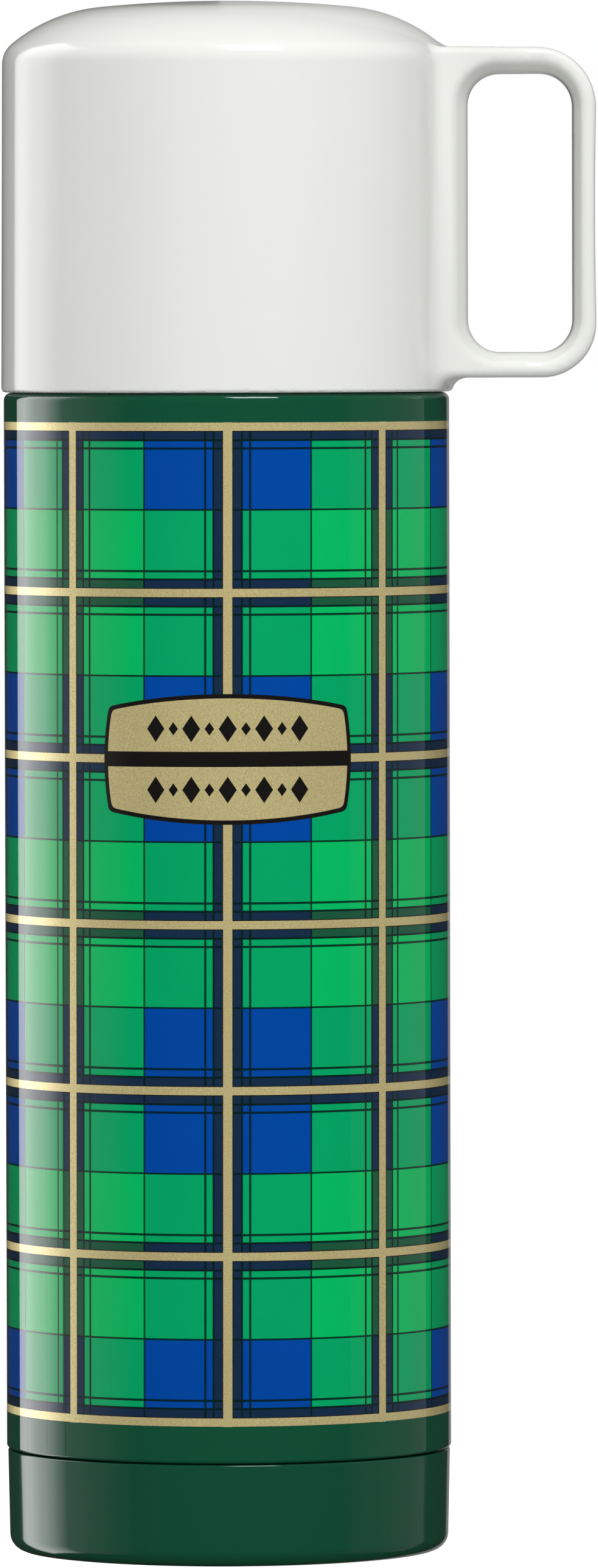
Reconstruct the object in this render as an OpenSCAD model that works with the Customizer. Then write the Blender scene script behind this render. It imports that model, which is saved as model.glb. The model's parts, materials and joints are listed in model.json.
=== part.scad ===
// Vacuum flask, about half a litre: double-walled steel body, base cap, threaded collar,
// screw-on drinking cup with a handle, and a screw stopper with a push-to-pour valve.
// Millimetres. The origin is the middle of the flat base, +Z is up, and the handle is at +X.

/* [Steel body] */
// Outside diameter of the body
body_d = 74; // [73:0.5:75]
// Height of the body's lower edge, just above the base cap
body_foot_z = 17.2; // [17:0.1:18]
// Height of the body's shoulder, just under the cup
shoulder_z = 191.7; // [191:0.1:191.8]
// Height of the steel lip round the mouth
lip_z = 196.5; // [196.2:0.1:196.8]
// Thickness of the steel sheet
sheet_t = 0.4; // [0.4:0.1:0.6]
// Diameter of the part of the body that the base cap covers
spigot_d = 68.8; // [68:0.2:69]

/* [Inner vessel] */
// Outside diameter of the inner vessel
vessel_d = 65; // [62:0.5:66]
// Bore of the mouth
mouth_bore = 45.8; // [45:0.2:46]
// Height where the vessel starts to narrow to its neck
vessel_shoulder_z = 172; // [150:1:174]
// Height of the underside of the vessel's floor
vessel_floor_z = 9.4; // [9:0.1:12]

/* [Base cap] */
// Diameter at the cap's upper edge
base_top_d = 73.4; // [73:0.1:73.8]
// Diameter just above the rounded foot
base_foot_d = 72.7; // [72:0.1:73.4]
// Height of the cap
base_h = 16.9; // [16:0.1:16.9]
// Depth of the recess inside the foot ring
base_recess = 1.2; // [0.8:0.1:1.6]

/* [Collar] */
// Diameter of the collar's neck, under its outer thread
collar_neck_d = 66; // [65.6:0.1:66.2]
// Diameter of the bore that takes the stopper, behind its inner thread
collar_bore_d = 58; // [57.8:0.1:58.2]
// Height of the collar's top edge
collar_top_z = 209; // [208.5:0.1:209]

/* [Cup] */
// Height of the cup's mouth edge when it is screwed down
cup_mouth_z = 192; // [191.9:0.1:192.4]
// Outside diameter at the mouth
cup_mouth_d = 74.8; // [74.6:0.1:75.2]
// Outside diameter just below the rounded corner
cup_corner_d = 74.28; // [74.2:0.02:74.6]
// Height of the cup's crown, which is the whole flask's height
cup_crown_z = 257.3; // [256.5:0.1:260]
// Thickness of the cup's wall
cup_wall = 2.0; // [1.8:0.1:2.1]

/* [Handle] */
// Distance from the flask's axis to the handle's outer edge
handle_reach = 61.7; // [58:0.1:66]
// Height of the handle's lower edge
handle_low_z = 194.2; // [194:0.1:196]
// Height of the handle's upper edge
handle_high_z = 249.2; // [247:0.1:249.4]
// Width of the handle across its flat sides
handle_w = 15; // [12:0.5:18]
// Thickness of the grip, at the outer side
grip_t = 4.1; // [3.5:0.1:5]

/* [Threads] */
// Starts of each thread
thread_starts = 3; // [3]
// Distance from one turn of a thread to the next
thread_pitch = 4; // [4:0.1:4.4]
// Height of a thread ridge above its wall
thread_depth = 1.4; // [1.2:0.1:1.4]

/* [Stopper] */
// Diameter of the stopper's grip rim
stopper_d = 60; // [56:0.5:62]
// Height of the plug's underside, which is the valve's seat
seat_z = 184; // [183.5:0.1:185]
// Height of the push button's top
button_top_z = 222; // [221:0.1:223]
// Diameter of the push button
button_d = 22.2; // [20:0.2:22.4]
// Diameter of the port that the valve closes
port_d = 16; // [14:0.5:17]
// Diameter of the valve stem
stem_d = 4; // [3.6:0.1:4.2]

/* [Hidden] */
$fn = 96;

green = [0.09, 0.31, 0.21];
print_green = [0.05, 0.62, 0.35];
white = [0.91, 0.92, 0.90];
grey = [0.55, 0.56, 0.56];
steel = [0.75, 0.76, 0.78];
copper = [0.78, 0.46, 0.30];
rubber = [0.80, 0.81, 0.80];

// radii and heights that several pieces share
body_r = body_d / 2;
spigot_r = spigot_d / 2;
vessel_r = vessel_d / 2;
mouth_r = mouth_bore / 2;
steel_neck_r = mouth_r + 2.1;
collar_neck_r = collar_neck_d / 2;
collar_bore_r = collar_bore_d / 2;
cup_mouth_r = cup_mouth_d / 2;
cup_corner_r = cup_corner_d / 2;
stopper_r = stopper_d / 2;
barrel_r = collar_bore_r - thread_depth - 0.4;
plug_r = mouth_r - 0.9;
button_r = button_d / 2;
stem_r = stem_d / 2;
port_r = port_d / 2;
body_weld_z = 9;
vessel_weld_z = 16;
shoulder_round = 2.5;
// thickness of the vessel's folded lip
lip_t = 0.5;
// rise of a thread in one whole turn
thread_lead = thread_starts * thread_pitch;
// how far a ridge's foot sinks into its wall
thread_root = 0.4;
// gap between pieces that are fitted to each other and don't move
fit = 0.1;
// ledge inside the collar, over the steel lip, and the barrel's shoulder that comes down to it
ledge_z = lip_z + 1;
barrel_low_z = ledge_z + 0.4;
// floor inside the base cap
cap_floor_z = 2.9;
// depth of the dimple round the evacuation hole
dimple_h = 1.5;
// groove that holds the stopper's gasket
groove_low_z = seat_z + 3.6;
groove_high_z = groove_low_z + 3.8;
groove_depth = 1.4;
// grip rim of the stopper, and the recess in its top for the cover's seal
rim_low_z = collar_top_z + 0.3;
rim_high_z = rim_low_z + 3.2;
rim_wall = 2.4;
seal_recess = 2.5;
seal_t = 1;
// floor of the button's guide and the recess in it for the stem's seal
guide_floor_z = 204;
gland_r = stem_r + 2.5;
gland_h = 1.5;
// gap between a turning or sliding piece and the solid round it
running = 0.3;
// face of the valve disc that carries its seal
valve_face_z = seat_z - 1.5;
// where the lowest ridge of each thread starts
neck_thread_z = shoulder_z + 5.5;
bore_thread_z = collar_top_z - 5.6;
stopper_thread_z = ledge_z + 1.9;
// undersides of the button's skirt and top plate
skirt_z = button_top_z - 9;
button_plate_z = button_top_z - 2.5;

// Points along an arc, for outlines that are revolved
function arc(x, z, r, from, to, steps = 6) =
    [for (i = [0:steps]) let (a = from + (to - from) * i / steps) [x + r * cos(a), z + r * sin(a)]];

function backwards(points) = [for (i = [len(points) - 1:-1:0]) points[i]];

// A solid of revolution from an outline of [radius, height] points
module turned(outline) {
    rotate_extrude() polygon(outline);
}

// A plain ring
module ring(inner_r, outer_r, low_z, high_z) {
    translate([0, 0, low_z])
        difference() {
            cylinder(h = high_z - low_z, r = outer_r);
            translate([0, 0, -1]) cylinder(h = high_z - low_z + 2, r = inner_r);
        }
}

// One helical thread ridge of four-sided section, from its foot radius to its crest radius.
// It fades into the wall over its first and last steps.
module ridge(foot_r, crest_r, z, start_a, sweep_a) {
    steps = round(sweep_a / 10);
    foot_w = 1.3;
    crest_w = 0.7;
    fade = function(i) min(1, 0.25 + min(i, steps - i) * 0.375);
    crest = function(i) foot_r + (crest_r - foot_r) * fade(i);
    section = function(i) [[foot_r, -foot_w], [crest(i), -crest_w], [crest(i), crest_w], [foot_r, foot_w]];
    points = [for (i = [0:steps])
              let (a = start_a + sweep_a * i / steps, rise = thread_lead * sweep_a / 360 * i / steps)
              for (p = section(i)) [p[0] * cos(a), p[0] * sin(a), z + rise + p[1]]];
    sides = [for (i = [0:steps - 1]) for (k = [0:3])
             [4 * i + k, 4 * i + (k + 1) % 4, 4 * i + 4 + (k + 1) % 4, 4 * i + 4 + k]];
    faces = concat(sides, [[3, 2, 1, 0]], [[for (k = [0:3]) 4 * steps + k]]);
    turned_in = crest_r < foot_r;
    polyhedron(points, turned_in ? [for (f = faces) [for (k = [len(f) - 1:-1:0]) f[k]]] : faces,
               convexity = 4);
}

// A whole thread: one ridge for each start
module thread(foot_r, crest_r, z, start_a, sweep_a) {
    for (i = [0:thread_starts - 1])
        ridge(foot_r, crest_r, z, start_a + i * 360 / thread_starts, sweep_a);
}

// ---- flask ----

// Plastic cap pushed over the body's foot, standing on a flat ring
module base_cap() {
    foot_round = 1.8;
    foot_r = base_foot_d / 2;
    top_r = base_top_d / 2;
    bore_r = spigot_r + fit;
    corner = 2.6;
    recess_r = 28.8;
    ring_r = recess_r + 1;
    edge = 0.6;
    color(green)
        turned(concat(
            [[0, base_recess], [recess_r, base_recess], [ring_r, 0]],
            arc(foot_r - foot_round, foot_round, foot_round, -90, 0),
            [[top_r, base_h - edge], [top_r - edge, base_h], [bore_r, base_h],
             [bore_r, cap_floor_z + corner]],
            arc(bore_r - corner, cap_floor_z + corner, corner, 0, -90),
            [[0, cap_floor_z]]));
}

// Drawn steel outer wall: spigot for the base cap, straight body, shoulder and neck
module outer_shell() {
    edge = 0.8;
    neck_bend = 2;
    // the top slopes up a little from the shoulder to the neck
    bend_z = shoulder_z + 0.5 + neck_bend;
    outside = concat(
        [[spigot_r, body_weld_z], [spigot_r, body_foot_z]],
        arc(body_r - edge, body_foot_z + edge, edge, -90, 0),
        arc(body_r - shoulder_round, shoulder_z - shoulder_round, shoulder_round, 0, 90),
        [[steel_neck_r + neck_bend, bend_z - neck_bend]],
        arc(steel_neck_r + neck_bend, bend_z, neck_bend, -90, -180),
        [[steel_neck_r, lip_z - lip_t]]);
    inside = concat(
        [[steel_neck_r - sheet_t, lip_z - lip_t]],
        arc(steel_neck_r + neck_bend, bend_z, neck_bend + sheet_t, -180, -90),
        arc(body_r - shoulder_round, shoulder_z - shoulder_round, shoulder_round - sheet_t, 90, 0),
        arc(body_r - edge, body_foot_z + edge, edge - sheet_t, 0, -90),
        [[spigot_r - sheet_t, body_foot_z + sheet_t], [spigot_r - sheet_t, body_weld_z]]);
    color(print_green) turned(concat(outside, inside));
}

// Steel end cup welded into the foot of the outer wall, dimpled round the evacuation hole
module outer_bottom() {
    low_z = cap_floor_z + fit;
    dimple_z = low_z + dimple_h;
    dimple_r = 7.5;
    corner = 3;
    hole_r = 1;
    outside = concat(
        [[hole_r, dimple_z], [dimple_r, dimple_z], [dimple_r + dimple_h, low_z]],
        arc(spigot_r - corner, low_z + corner, corner, -90, 0),
        [[spigot_r, body_weld_z]]);
    inside = concat(
        [[spigot_r - sheet_t, body_weld_z]],
        arc(spigot_r - corner, low_z + corner, corner - sheet_t, 0, -90),
        [[dimple_r + 1.8, low_z + sheet_t], [dimple_r + 0.3, dimple_z + sheet_t],
         [hole_r, dimple_z + sheet_t]]);
    color(steel) turned(concat(outside, inside));
}

// Bead of brazing metal that closes the evacuation hole
module vacuum_seal() {
    top_z = cap_floor_z + fit + dimple_h;
    bead_h = 1.3;
    bead_round = 6.9;
    plug_r = 0.9;
    color(grey)
        turned(concat(
            [[0, top_z + 0.5], [0, top_z - bead_h]],
            arc(0, top_z - bead_h + bead_round, bead_round, -86, -55),
            [[4, top_z], [plug_r, top_z], [plug_r, top_z + 0.5]]));
}

// Gas-absorbing pill in its steel dish, spot-welded under the vessel's floor
module getter() {
    pill_r = 5;
    pill_h = 2.2;
    edge = 0.4;
    flange_r = pill_r + 1.2;
    color(steel)
        turned([[0, vessel_floor_z], [0, vessel_floor_z - pill_h],
                [pill_r - edge, vessel_floor_z - pill_h], [pill_r, vessel_floor_z - pill_h + edge],
                [pill_r, vessel_floor_z - edge], [flange_r, vessel_floor_z - edge],
                [flange_r, vessel_floor_z]]);
}

// Steel vessel that holds the drink, narrowing to a neck whose lip is welded to the outer wall
module inner_vessel() {
    bend = 6;
    hollow = vessel_r - mouth_r - sheet_t - bend;
    neck_low_z = vessel_shoulder_z + bend + hollow;
    outside = concat(
        [[vessel_r, vessel_weld_z]],
        arc(vessel_r - bend, vessel_shoulder_z, bend, 0, 90),
        arc(vessel_r - bend, neck_low_z, hollow, -90, -180),
        [[mouth_r + sheet_t, lip_z - lip_t], [steel_neck_r, lip_z - lip_t],
         [steel_neck_r, lip_z], [mouth_r + 0.3, lip_z], [mouth_r, lip_z - 0.3]]);
    inside = concat(
        arc(vessel_r - bend, neck_low_z, hollow + sheet_t, -180, -90),
        arc(vessel_r - bend, vessel_shoulder_z, bend - sheet_t, 90, 0),
        [[vessel_r - sheet_t, vessel_weld_z]]);
    color(steel) turned(concat(outside, inside));
}

// Steel end cup welded to the foot of the vessel
module inner_bottom() {
    corner = 3.4;
    outside = concat(
        [[0, vessel_floor_z]],
        arc(vessel_r - corner, vessel_floor_z + corner, corner, -90, 0),
        [[vessel_r, vessel_weld_z], [vessel_r - sheet_t, vessel_weld_z]]);
    inside = concat(
        arc(vessel_r - corner, vessel_floor_z + corner, corner - sheet_t, 0, -90),
        [[0, vessel_floor_z + sheet_t]]);
    color(steel) turned(concat(outside, inside));
}

// Foil wrapped round the vessel to hold back radiant heat
module copper_foil() {
    color(copper) ring(vessel_r + 0.05, vessel_r + 0.15, vessel_weld_z + 6, vessel_shoulder_z - 4);
}

// Plastic collar bonded over the steel neck: outer thread for the cup, inner thread for the stopper
module collar() {
    foot_r = collar_neck_r + 1.3;
    foot_z = shoulder_z + 0.6;
    hole_r = steel_neck_r + 2 * fit;
    flange_z = shoulder_z + 1.7;
    groove_z = lip_z - 2.4;
    color(green) {
        difference() {
            turned([[foot_r, foot_z], [foot_r, flange_z - 0.3], [foot_r - 0.3, flange_z],
                    [collar_neck_r, flange_z], [collar_neck_r, collar_top_z - 0.8],
                    [collar_neck_r - 0.8, collar_top_z], [collar_bore_r + 0.6, collar_top_z],
                    [collar_bore_r, collar_top_z - 0.6], [collar_bore_r, ledge_z],
                    [hole_r, ledge_z], [hole_r, foot_z + 2], [hole_r + 2, foot_z]]);
            ring(hole_r - 1, hole_r + 1.6, groove_z, groove_z + 1.6);
        }
        thread(collar_neck_r - thread_root, collar_neck_r + thread_depth, neck_thread_z, 0, 240);
        thread(collar_bore_r + thread_root, collar_bore_r - thread_depth, bore_thread_z, 60, 100);
    }
}

// Rubber ring that seals the collar to the steel neck
module collar_seal() {
    color(rubber)
        rotate_extrude()
            translate([steel_neck_r + 0.95, lip_z - 1.6]) circle(r = 0.7, $fn = 32);
}

// Rubber ring round the collar's neck, gripped by the skirt of the cup
module neck_ring() {
    color(rubber)
        rotate_extrude()
            translate([collar_neck_r + 1, shoulder_z + 2.8]) circle(r = 0.9, $fn = 32);
}

// ---- cup ----

// The cup's outline, one wall thickness further in when inset is set. The crown is a wide
// dome that runs through a tighter curve into the rounded corner.
function crown(inset) =
    let (dome = 220, bend = 26.5, corner = 4.3,
         dome_a = 5.5, bend_a = 40,
         x1 = dome * sin(dome_a), z1 = cup_crown_z - dome * (1 - cos(dome_a)),
         x2 = x1 - bend * sin(dome_a), z2 = z1 - bend * cos(dome_a),
         x3 = x2 + (bend - corner) * sin(bend_a), z3 = z2 + (bend - corner) * cos(bend_a))
    concat(arc(x3, z3, corner - inset, 0, 90 - bend_a, 6),
           arc(x2, z2, bend - inset, 90 - bend_a, 90 - dome_a, 8),
           arc(0, cup_crown_z - dome, dome - inset, 90 - dome_a, 90, 4));

// Handle outline seen from the side: a rounded frame
module rounded_frame(x0, z0, x1, z1, r) {
    translate([x0 + r, z0]) square([x1 - x0 - 2 * r, z1 - z0]);
    translate([x0, z0 + r]) square([x1 - x0, z1 - z0 - 2 * r]);
    for (x = [x0 + r, x1 - r])
        for (z = [z0 + r, z1 - r])
            translate([x, z]) circle(r = r);
}

// Handle seen from above: a straight bar that flares out to the cup's wall
module handle_plan() {
    flare = 8;
    flare_x = cup_mouth_r + 4;
    half_w = handle_w / 2;
    wall_x = cup_corner_r - 6;
    difference() {
        translate([wall_x, -half_w - 3.5]) square([handle_reach, handle_w + 7]);
        for (side = [-1, 1])
            translate([flare_x, side * (half_w + flare)]) circle(r = flare);
        for (y = [-half_w - flare, half_w])
            translate([flare_x, y]) square([handle_reach, flare]);
    }
}

// Closed handle with a finger gap, moulded in one with the cup
module cup_handle() {
    gap_x0 = cup_mouth_r + 2.8;
    gap_x1 = handle_reach - grip_t;
    intersection() {
        rotate([90, 0, 0])
            linear_extrude(height = 40, center = true)
                difference() {
                    rounded_frame(cup_corner_r - 15, handle_low_z, handle_reach, handle_high_z, 10);
                    rounded_frame(gap_x0, handle_low_z + 4.3, gap_x1, handle_high_z - 4.2, 5.1);
                }
        translate([0, 0, cup_mouth_z]) linear_extrude(height = 70) handle_plan();
    }
}

// Drinking cup, upside down on the flask: crown, wall, handle and the thread inside its mouth
module cup() {
    lip = 0.5;
    inner_mouth_r = cup_mouth_r - cup_wall - 0.1;
    color(white) {
        turned(concat([[inner_mouth_r, cup_mouth_z]],
                      arc(cup_mouth_r - lip, cup_mouth_z + lip, lip, -90, 0, 4),
                      crown(0),
                      backwards(crown(cup_wall + 0.1))));
        difference() {
            cup_handle();
            // the handle's root ends inside the cup's wall
            translate([0, 0, cup_mouth_z - 1]) cylinder(h = 70, r = cup_corner_r - 0.9);
        }
        thread(inner_mouth_r + thread_root - 0.1, collar_neck_r + 0.6, neck_thread_z, 60, 100);
    }
}

// ---- stopper ----

// Lip seal round the plug, closing the bore of the mouth
module stopper_gasket() {
    back_r = plug_r - groove_depth + fit;
    lip_r = mouth_r - 0.3;
    middle_z = (groove_low_z + groove_high_z) / 2;
    color(rubber)
        turned(concat(
            [[back_r, groove_high_z - 0.2], [back_r, groove_low_z + 0.2]],
            arc(lip_r - 0.6, groove_low_z + 0.8, 0.6, -90, 60, 5),
            [[lip_r - 0.5, middle_z]],
            arc(lip_r - 0.6, groove_high_z - 0.8, 0.6, -60, 90, 5)));
}

// Threaded barrel and plug in one: hollow, with the valve's port in its floor
module stopper_body() {
    plug_bore_r = plug_r - 2.6;
    barrel_bore_r = barrel_r - 2;
    grips = 30;
    grip_r = 1.1;
    edge = 0.5;
    color(white) {
        difference() {
            turned([[port_r, seat_z], [plug_r - 1.5, seat_z], [plug_r, seat_z + 1.5],
                    [plug_r, groove_low_z], [plug_r - groove_depth, groove_low_z],
                    [plug_r - groove_depth, groove_high_z], [plug_r, groove_high_z],
                    [plug_r, barrel_low_z], [barrel_r, barrel_low_z], [barrel_r, rim_low_z],
                    [stopper_r - edge, rim_low_z], [stopper_r, rim_low_z + edge],
                    [stopper_r, rim_high_z - edge], [stopper_r - edge, rim_high_z],
                    [stopper_r - rim_wall, rim_high_z], [stopper_r - rim_wall, rim_high_z - seal_recess],
                    [barrel_bore_r, rim_high_z - seal_recess], [barrel_bore_r, barrel_low_z + 2],
                    [plug_bore_r, barrel_low_z + 1], [plug_bore_r, seat_z + 2],
                    [port_r, seat_z + 2]]);
            for (i = [0:grips - 1])
                rotate([0, 0, i * 360 / grips])
                    translate([stopper_r + 0.5, 0, rim_low_z - 1])
                        cylinder(h = rim_high_z - rim_low_z + 3, r = grip_r, $fn = 24);
        }
        thread(barrel_r - thread_root, barrel_r + thread_depth, stopper_thread_z, 0, 200);
    }
}

// A slot bent round the axis, with round ends. Each end's arc stops short of the long sides.
module slot_outline(r, half_w, from, to) {
    short = 22.5;
    polygon(concat(arc(0, 0, r + half_w, from, to, 8),
                   arc(r * cos(to), r * sin(to), half_w, to + short, to + 180 - short, 6),
                   arc(0, 0, r - half_w, to, from, 8),
                   arc(r * cos(from), r * sin(from), half_w, from - 180 + short, from - short, 6)));
}

// Cover snapped into the rim: guide for the button, pouring spout and air hole
module stopper_cover() {
    guide_r = button_r + running;
    tube_r = guide_r + 1.8;
    tube_z = guide_floor_z - 2.5;
    stem_hole_r = stem_r + 0.7;
    seat_r = stopper_r - rim_wall - fit;
    skirt_r = seat_r - 2.5;
    low_z = rim_high_z - seal_recess + seal_t + fit;
    inner_z = low_z + 2.4;
    edge_r = stopper_r - 0.5;
    // the slot and the air hole lie on one circle, and the slot reaches out to both sides of it
    spout_r = 20.5;
    spout_half_w = 3.4;
    spout_half_a = 12;
    air_r = 1.6;
    color(white) {
        difference() {
            turned(concat(
                [[stem_hole_r, tube_z], [tube_r, tube_z],
                 [tube_r, inner_z], [skirt_r, inner_z], [skirt_r, low_z],
                 [seat_r, low_z], [seat_r, rim_high_z + fit], [edge_r, rim_high_z + fit]],
                arc(edge_r - 2, rim_high_z + 3, 2, 0, 80, 5),
                [[guide_r + 1, rim_high_z + 6], [guide_r, rim_high_z + 5.5],
                 [guide_r, guide_floor_z], [gland_r, guide_floor_z],
                 [gland_r, guide_floor_z - gland_h], [stem_hole_r, guide_floor_z - gland_h]]));
            // pouring slot, a short arc round the cover
            translate([0, 0, low_z - 1])
                linear_extrude(height = 12)
                    slot_outline(spout_r, spout_half_w, 180 - spout_half_a, 180 + spout_half_a);
            translate([spout_r, 0, low_z - 1]) cylinder(h = 12, r = air_r, $fn = 48);
        }
    }
}

// Flat rubber ring between the cover and the rim
module cover_seal() {
    color(rubber)
        ring(barrel_r - 1.8, barrel_r + 0.2, rim_high_z - seal_recess, rim_high_z - seal_recess + seal_t);
}

// Rubber ring that keeps the drink away from the button
module stem_seal() {
    color(rubber)
        ring(stem_r + fit, gland_r - fit, guide_floor_z - gland_h + fit, guide_floor_z - fit);
}

// Round push button with a socket for the stem
module pour_button() {
    boss_r = stem_r + 2;
    edge = 1.5;
    color(green)
        difference() {
            turned(concat(
                [[0, skirt_z], [button_r, skirt_z]],
                arc(button_r - edge, button_top_z - 0.6 - edge, edge, 0, 80, 5),
                [[button_r * 0.55, button_top_z - 0.9], [0, button_top_z]]));
            ring(boss_r, button_r - edge, skirt_z - 1, button_plate_z);
            translate([0, 0, skirt_z - 1]) cylinder(h = 6, r = stem_r + fit);
        }
}

// Compression spring under the button
module button_spring() {
    wire_r = 0.45;
    coil_r = 7;
    low_z = guide_floor_z + fit + wire_r;
    high_z = button_plate_z - fit - wire_r;
    turns = 5.5;
    steps = 110;
    sides = 6;
    // the first and last turn lie almost flat
    end_rise = 1.1;
    middle_rise = (high_z - low_z - 2 * end_rise) / (turns - 2);
    rise = function(t) t < 1 ? t * end_rise : t > turns - 1 ? (high_z - low_z) - (turns - t) * end_rise
           : end_rise + (t - 1) * middle_rise;
    points = [for (i = [0:steps]) let (t = turns * i / steps, a = 360 * t)
              for (k = [0:sides - 1]) let (b = 360 * k / sides, r = coil_r + wire_r * cos(b))
              [r * cos(a), r * sin(a), low_z + rise(t) + wire_r * sin(b)]];
    walls = [for (i = [0:steps - 1]) for (k = [0:sides - 1])
             [sides * i + k, sides * i + (k + 1) % sides,
              sides * (i + 1) + (k + 1) % sides, sides * (i + 1) + k]];
    ends = [[for (k = [sides - 1:-1:0]) k], [for (k = [0:sides - 1]) sides * steps + k]];
    color(steel) polyhedron(points, concat(walls, ends), convexity = 10);
}

// Steel rod from the button to the valve
module valve_stem() {
    low_z = seat_z - 5;
    high_z = button_top_z - 4.2;
    color(steel) {
        translate([0, 0, low_z]) cylinder(h = high_z - low_z, r = stem_r);
        // flange that the valve disc rests against
        translate([0, 0, seat_z - 0.6]) cylinder(h = 0.8, r = stem_r + 1.2);
    }
}

// Plastic disc that carries the valve's seal
module valve_disc() {
    disc_r = port_r + 3;
    hub_r = port_r - 1.6;
    low_z = seat_z - 3.2;
    hub_z = seat_z - 0.7;
    color(grey)
        turned([[stem_r + fit, low_z], [disc_r - 1.5, low_z], [disc_r, low_z + 0.8],
                [disc_r, valve_face_z], [hub_r, valve_face_z], [hub_r, hub_z],
                [stem_r + fit, hub_z]]);
}

// Flat rubber ring that closes the port
module valve_seal() {
    color(rubber) ring(port_r - 1.5, port_r + 2.8, valve_face_z, seat_z - 0.3);
}

// Spring clip that holds the disc on the stem
module stem_clip() {
    gap_w = 2.2;
    color(steel)
        difference() {
            ring(stem_r + 0.02, stem_r + 1.8, seat_z - 4, seat_z - 3.3);
            translate([0, -gap_w / 2, seat_z - 5]) cube([6, gap_w, 3]);
        }
}

base_cap();
outer_shell();
outer_bottom();
vacuum_seal();
getter();
inner_vessel();
inner_bottom();
copper_foil();
collar();
collar_seal();
neck_ring();
cup();
stopper_gasket();
stopper_body();
stopper_cover();
cover_seal();
stem_seal();
pour_button();
button_spring();
valve_stem();
valve_disc();
valve_seal();
stem_clip();
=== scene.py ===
"""The looks of the vacuum flask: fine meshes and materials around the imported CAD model.

Outlines and fields are in millimetres in the CAD's frame: +Z is up, the handle points to +X,
and the camera looks along +Y. Meshes are turned into metres as they are made.
"""
import json
import math

import bmesh
import bpy
import numpy as np
from mathutils import Matrix, Vector

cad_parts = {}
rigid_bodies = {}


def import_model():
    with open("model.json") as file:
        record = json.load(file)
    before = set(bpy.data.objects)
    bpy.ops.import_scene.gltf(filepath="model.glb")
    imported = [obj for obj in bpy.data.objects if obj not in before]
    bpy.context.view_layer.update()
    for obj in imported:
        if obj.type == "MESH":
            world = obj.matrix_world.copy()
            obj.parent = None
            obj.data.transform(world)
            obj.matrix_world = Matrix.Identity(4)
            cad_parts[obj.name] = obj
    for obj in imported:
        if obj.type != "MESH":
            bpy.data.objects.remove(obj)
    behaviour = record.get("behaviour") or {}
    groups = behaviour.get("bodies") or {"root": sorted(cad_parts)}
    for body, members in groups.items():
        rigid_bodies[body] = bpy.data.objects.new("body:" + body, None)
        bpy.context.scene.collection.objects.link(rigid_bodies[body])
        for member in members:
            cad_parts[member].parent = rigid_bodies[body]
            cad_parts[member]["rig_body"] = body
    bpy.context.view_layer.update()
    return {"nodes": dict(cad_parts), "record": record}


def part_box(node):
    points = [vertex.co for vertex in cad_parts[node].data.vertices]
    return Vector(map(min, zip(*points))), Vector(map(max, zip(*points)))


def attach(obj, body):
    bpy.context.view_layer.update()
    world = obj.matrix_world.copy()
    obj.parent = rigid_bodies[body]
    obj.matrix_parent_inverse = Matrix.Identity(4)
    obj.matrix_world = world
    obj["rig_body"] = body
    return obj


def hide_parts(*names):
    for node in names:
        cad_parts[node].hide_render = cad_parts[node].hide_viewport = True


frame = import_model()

MM = 0.001


# ---- sizes, from the frame ----

def low_z(node):
    """Height of a node's underside."""
    return round(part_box(node)[0].z / MM, 2)


def high_z(node):
    """Height of a node's top."""
    return round(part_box(node)[1].z / MM, 2)


def radius(node):
    """Radius of a node, to the nearest tenth, measured across the handle's direction."""
    return round(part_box(node)[1].y / MM, 1)


SHELL_R = radius("outer_shell")
SHELL_LOW_Z = low_z("outer_shell")
SHELL_HIGH_Z = high_z("outer_shell")
CUP_R = radius("cup")
CUP_LOW_Z = low_z("cup")
CUP_EDGE_Z = CUP_LOW_Z + 0.5
CUP_HIGH_Z = high_z("cup")
HANDLE_X = round(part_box("cup")[1].x / MM, 2)
CAP_R = radius("base_cap")
CAP_HIGH_Z = high_z("base_cap")
COLLAR_LOW_Z = low_z("collar")
COLLAR_HIGH_Z = high_z("collar")
STOPPER_R = radius("stopper_cover") + 0.5
SEAT_Z = low_z("stopper_body")
BUTTON_R = radius("pour_button")
BUTTON_LOW_Z = low_z("pour_button")
BUTTON_HIGH_Z = high_z("pour_button")

SHEET_T = 0.4
THREAD_STARTS = 3
THREAD_LEAD = 12
THREAD_H = 1.4
CUP_THREAD_Z = 197.2
THREAD_FILLET = 0.25


# ---- mesh building ----

def finish_mesh(name, vertices, faces, normals=None):
    """A smooth-shaded object from vertices in millimetres. Given normals are kept for its shading."""
    mesh = bpy.data.meshes.new(name)
    mesh.from_pydata((np.asarray(vertices) * MM).tolist(), [], faces)
    mesh.validate()
    piece = bpy.data.objects.new(name, mesh)
    bpy.context.scene.collection.objects.link(piece)
    mesh.shade_smooth()
    if normals is not None:
        mesh.normals_split_custom_set_from_vertices(np.asarray(normals).tolist())
    return piece


def filleted(corners, steps=6):
    """A closed outline through (radius, height) corners. A third number rounds that corner."""
    outline = []
    for i, corner in enumerate(corners):
        here = Vector(corner[:2])
        if len(corner) == 2:
            outline.append(here)
            continue
        to_last = (Vector(corners[i - 1][:2]) - here).normalized()
        to_next = (Vector(corners[(i + 1) % len(corners)][:2]) - here).normalized()
        half = to_last.angle(to_next) / 2
        centre = here + (to_last + to_next).normalized() * corner[2] / math.sin(half)
        start = here + to_last * corner[2] / math.tan(half) - centre
        end = here + to_next * corner[2] / math.tan(half) - centre
        turn = math.atan2(start.cross(end), start.dot(end))
        for k in range(steps + 1):
            outline.append(centre + Matrix.Rotation(turn * k / steps, 2) @ start)
    return [tuple(point) for point in outline]


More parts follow.
